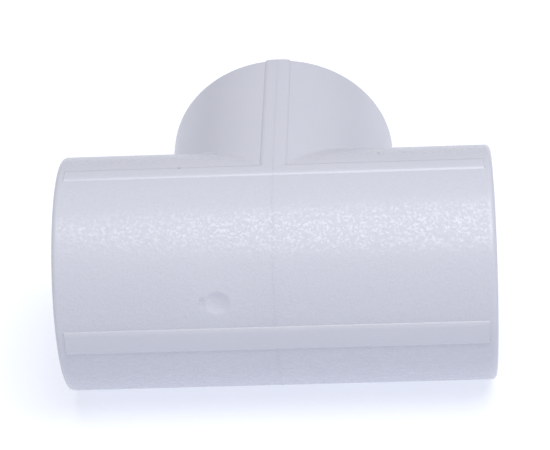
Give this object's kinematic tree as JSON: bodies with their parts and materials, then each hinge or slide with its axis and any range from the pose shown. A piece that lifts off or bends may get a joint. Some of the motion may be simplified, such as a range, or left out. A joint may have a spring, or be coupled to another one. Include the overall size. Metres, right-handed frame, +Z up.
{
  "type": "tee fitting",
  "caption": "Plastic pipe tee with equal sockets on a straight run and a square branch, for solvent-welded pressure or drain pipe.",
  "frame": {"origin": "middle of the footprint, on the surface that the tee lies on; the axes of the run and the branch cross 14.25 mm towards -Y and 35.78 mm above it", "axes": "+X along the run, +Y the way the branch points, +Z up, square to both axes"},
  "size_m": [0.1284, 0.0998, 0.0716],
  "materials": {
    "white_pvc": "satin white moulding, fine grain on the run, smoother on the branch and the raised bands"
  },
  "bodies": {
    "root": {"tee_body": "white_pvc"}
  },
  "joints": []
}
